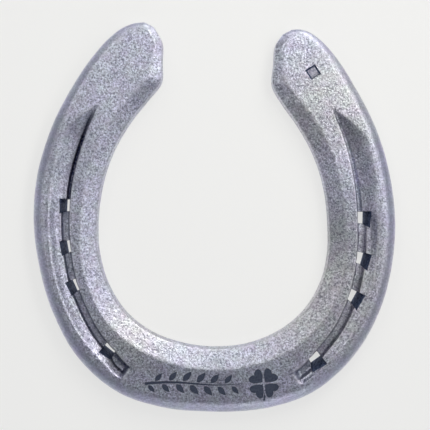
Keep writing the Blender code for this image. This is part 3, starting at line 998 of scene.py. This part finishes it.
def steel_material():
    """Blasted steel: dark and light grains, broad clouds, rubbed bevels and edges, painted warm light,
    and dark scale with painted shade.
    """
    tree = Tree("blasted_steel")
    places = millimetres(tree)
    spots = tree.noise(places, SPOT_SIZE, 2.0, 0.6)
    fine = tree.noise(places, FINE_SIZE, 2.0, 0.6)
    cells = tree.add("ShaderNodeTexVoronoi", {"Vector": places, "Scale": 1 / CELL_SIZE})
    chance = tree.add("ShaderNodeSeparateColor", {"Color": cells.outputs["Color"]}).outputs["Red"]
    grain = tree.math(
        "ADD", tree.math("MULTIPLY", chance, CELL_SHARE), tree.math("MULTIPLY", spots, 1 - CELL_SHARE)
    )
    clouds = tree.mix(tree.noise(places, CLOUD_SIZE, 4.0, 0.55), *CLOUD_COLOURS)
    stains = tree.spread(tree.noise(places, STAIN_SIZE, 3.0, 0.6), 0.45, 0.7, 0, STAIN_SHARE)
    hues = tree.spread(tree.noise(places, HUE_SIZE, 1.0, 0.5), 0.35, 0.65)
    ragged = tree.spread(spots, 0.35, 0.6, 0.5, 1.2)
    # Dark scale and painted shade, broken up by the spots.
    dark_scale_and_shade = tree.math("MULTIPLY", tree.attribute("scale_and_painted_shade"), ragged, True)

    speckle = tree.spread(grain, 0.32, 0.68)
    blasted = tree.mix(speckle, *BLASTED_COLOURS)
    rubbed = tree.mix(speckle, *RUBBED_COLOURS)
    colour = tree.mix(tree.math("MULTIPLY", tree.attribute("band"), BAND_SHARE), blasted, rubbed)
    colour = tree.mix(1.0, colour, clouds, "MULTIPLY")
    colour = tree.mix(stains, colour, STAIN_COLOUR)
    colour = tree.mix(tree.spread(tree.attribute("edge"), 0.0, 1.0, 0, EDGE_SHARE), colour, EDGE_COLOUR)
    colour = tree.mix(1.0, colour, tree.mix(hues, *HUE_COLOURS), "MULTIPLY")
    # Painted warm light on the bright patches.
    warm_lit = tree.mix(1.0, colour, WARM_LIGHT_TINT, "MULTIPLY")
    colour = tree.mix(tree.attribute("painted_warm_light"), colour, warm_lit)
    colour = tree.mix(dark_scale_and_shade, colour, SCALE_AND_SHADE_COLOUR)
    tree.feed(tree.shader.inputs["Base Color"], colour)
    tree.shader.inputs["Metallic"].default_value = 1.0
    tree.feed(tree.shader.inputs["Roughness"], tree.spread(fine, 0.35, 0.65, *STEEL_ROUGHNESS))

    height = tree.math("ADD", spots, tree.math("MULTIPLY", fine, 0.4))
    pits = tree.math("MULTIPLY", cells.outputs["Distance"], 0.25)
    tree.add_bump(tree.math("ADD", height, pits), 0.6, 0.2)
    return tree.material


def dark_material(name, grain_size, colours, metallic, roughness, bump_strength, bump_height):
    """A dark grained surface of two colours."""
    tree = Tree(name)
    grain = tree.noise(millimetres(tree), grain_size, 3.0, 0.6)
    colour = tree.mix(tree.spread(grain, 0.35, 0.65), *colours)
    tree.feed(tree.shader.inputs["Base Color"], colour)
    tree.shader.inputs["Metallic"].default_value = metallic
    tree.shader.inputs["Roughness"].default_value = roughness
    tree.add_bump(grain, bump_strength, bump_height)
    return tree.material


def shaded_wall_material():
    """Painted shade on the walls of the nail holes and of the punch mark."""
    return dark_material("painted_shade_walls", 0.8, SHADED_WALL_COLOURS, 0.6, 0.5, 0.4, 0.1)


def mark_material():
    """The floor of the mark, burnt dark."""
    return dark_material("burnt_mark", 0.7, MARK_COLOURS, 0.3, 0.6, 0.3, 0.05)


def nearest_values(points, samples, values):
    """Each point's values, from the nearest sample."""
    tree = kdtree.KDTree(len(samples))
    for i, sample in enumerate(samples):
        tree.insert(sample, i)
    tree.balance()
    return values[[tree.find(point)[1] for point in points]]


def wear_and_light_shares(points, normals, pairs, dark_scale_and_shade):
    """Four shares for each point: bright edge; dark scale and painted shade from the crease, the hollows
    and the shade patches; rubbed outer band; and painted warm light.
    """
    over_near = ((points - averaged(points, pairs, EDGE_ROUNDS)) * normals).sum(axis=1)
    over_broad = ((points - averaged(points, pairs, CAVITY_ROUNDS)) * normals).sum(axis=1)
    edge = np.clip(over_near / EDGE_HEIGHT, 0, 1)
    scale_and_painted_shade = CAVITY_SHARE * np.clip(-over_broad / CAVITY_DEPTH - CAVITY_START, 0, 1)
    # The crease's painted shade, the shade patches, and the hollows' darkness, which is partly scale and
    # partly painted shade.
    dark = np.max((dark_scale_and_shade, scale_and_painted_shade, patch_shares(points, PAINTED_SHADE_PATCHES)), axis=0)
    width = bevel_widths(points)
    to_outer = distance_to_edge(points[:, :2], 0)
    band = np.clip((width - to_outer) / (BAND_FADE * width), 0, 1) * (normals[:, 2] > FACING_UP)
    return np.stack((edge, dark, band, patch_shares(points, WARM_LIGHT_PATCHES)), axis=1)


def on_punch_floor(points):
    """Which points are on the floor of the punch mark."""
    away = np.hypot(points[:, 0] - PUNCH_PLACE[0], points[:, 1] - PUNCH_PLACE[1])
    return (away < PUNCH_TOP_SIDE) & (abs(points[:, 2] - TOP + PUNCH_DEPTH) < PUNCH_FLOOR_REACH)


def make_shoe():
    mesh, dark_scale_and_shade = bar_mesh()
    shoe = add_object("shoe", mesh)
    pairs = edge_pairs(mesh)
    points = mesh_points(mesh)
    for _ in range(SMOOTHING_ROUNDS):
        points = points + SMOOTHING * (averaged(points, pairs) - points)
    set_points(mesh, points)
    points = forged(points, mesh_normals(mesh))
    set_points(mesh, points)
    wear_and_painted_light = wear_and_light_shares(points, mesh_normals(mesh), pairs, dark_scale_and_shade)
    for material in (steel_material(), shaded_wall_material(), mark_material()):
        mesh.materials.append(material)

    mesh = cut_holes_and_marks(shoe)
    cut_points = mesh_points(mesh)
    wear_and_painted_light = nearest_values(cut_points, points, wear_and_painted_light)
    # Painted shade on the punch mark's floor.
    wear_and_painted_light[on_punch_floor(cut_points), 1] = PUNCH_FLOOR_SHADE
    for name, values in zip(("edge", "scale_and_painted_shade", "band", "painted_warm_light"), wear_and_painted_light.T):
        set_attribute(mesh, name, values)
    mesh.shade_smooth()
    mesh.set_sharp_from_angle(angle=SHARP_ANGLE)
    return shoe


def make_floor():
    solid = bmesh.new()
    bmesh.ops.create_grid(solid, x_segments=1, y_segments=1, size=FLOOR_HALF_SIDE)
    mesh = bpy.data.meshes.new("floor")
    solid.to_mesh(mesh)
    solid.free()
    tree = Tree("pale_floor")
    tree.shader.inputs["Base Color"].default_value = FLOOR_COLOUR
    tree.shader.inputs["Roughness"].default_value = 0.9
    tree.shader.inputs["Emission Color"].default_value = FLOOR_GLOW_COLOUR
    tree.shader.inputs["Emission Strength"].default_value = FLOOR_GLOW
    mesh.materials.append(tree.material)
    floor = add_object("floor", mesh)
    floor.location.z = -FLOOR_GAP
    return floor


def add_area_light(name, aim, azimuth, elevation, distance, size, power, colour):
    """A round soft light. Azimuth is in degrees from +X towards +Y, and elevation above the floor."""
    data = bpy.data.lights.new(name, "AREA")
    data.shape = "DISK"
    data.size = size
    data.energy = power
    data.color = colour
    turn = math.radians(azimuth)
    rise = math.radians(elevation)
    away = Vector((math.cos(turn) * math.cos(rise), math.sin(turn) * math.cos(rise), math.sin(rise)))
    light = bpy.data.objects.new(name, data)
    light.location = Vector(aim) + away * distance
    light.visible_camera = False
    light.rotation_euler = away.to_track_quat("Z", "Y").to_euler()
    bpy.context.scene.collection.objects.link(light)


def add_lights():
    """Seven soft lights, and a sky that is brightest at its horizon."""
    world = bpy.data.worlds.new("studio")
    world.use_nodes = True
    nodes = world.node_tree.nodes
    links = world.node_tree.links
    background = nodes["Background"]
    background.inputs["Color"].default_value = SKY_COLOUR
    direction = nodes.new("ShaderNodeSeparateXYZ")
    links.new(nodes.new("ShaderNodeTexCoord").outputs["Generated"], direction.inputs[0])
    strength = nodes.new("ShaderNodeMapRange")
    for name, value in zip(("From Min", "From Max", "To Min", "To Max"), SKY):
        strength.inputs[name].default_value = value
    links.new(direction.outputs["Z"], strength.inputs["Value"])
    links.new(strength.outputs["Result"], background.inputs["Strength"])
    bpy.context.scene.world = world
    bpy.context.scene.view_settings.view_transform = "Standard"
    for light in LIGHTS:
        add_area_light(*light)


def add_camera():
    """Straight above the ground side."""
    data = bpy.data.cameras.new("camera")
    data.sensor_width = SENSOR_WIDTH
    data.lens = SENSOR_WIDTH * CAMERA_DISTANCE / VIEW_WIDTH
    camera = bpy.data.objects.new("camera", data)
    camera.location = Vector(VIEW_CENTRE) + Vector((0, 0, CAMERA_DISTANCE))
    bpy.context.scene.collection.objects.link(camera)
    bpy.context.scene.camera = camera


shoe = make_shoe()
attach(shoe, "root")
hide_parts(NODE)
floor = make_floor()
add_lights()
add_camera()
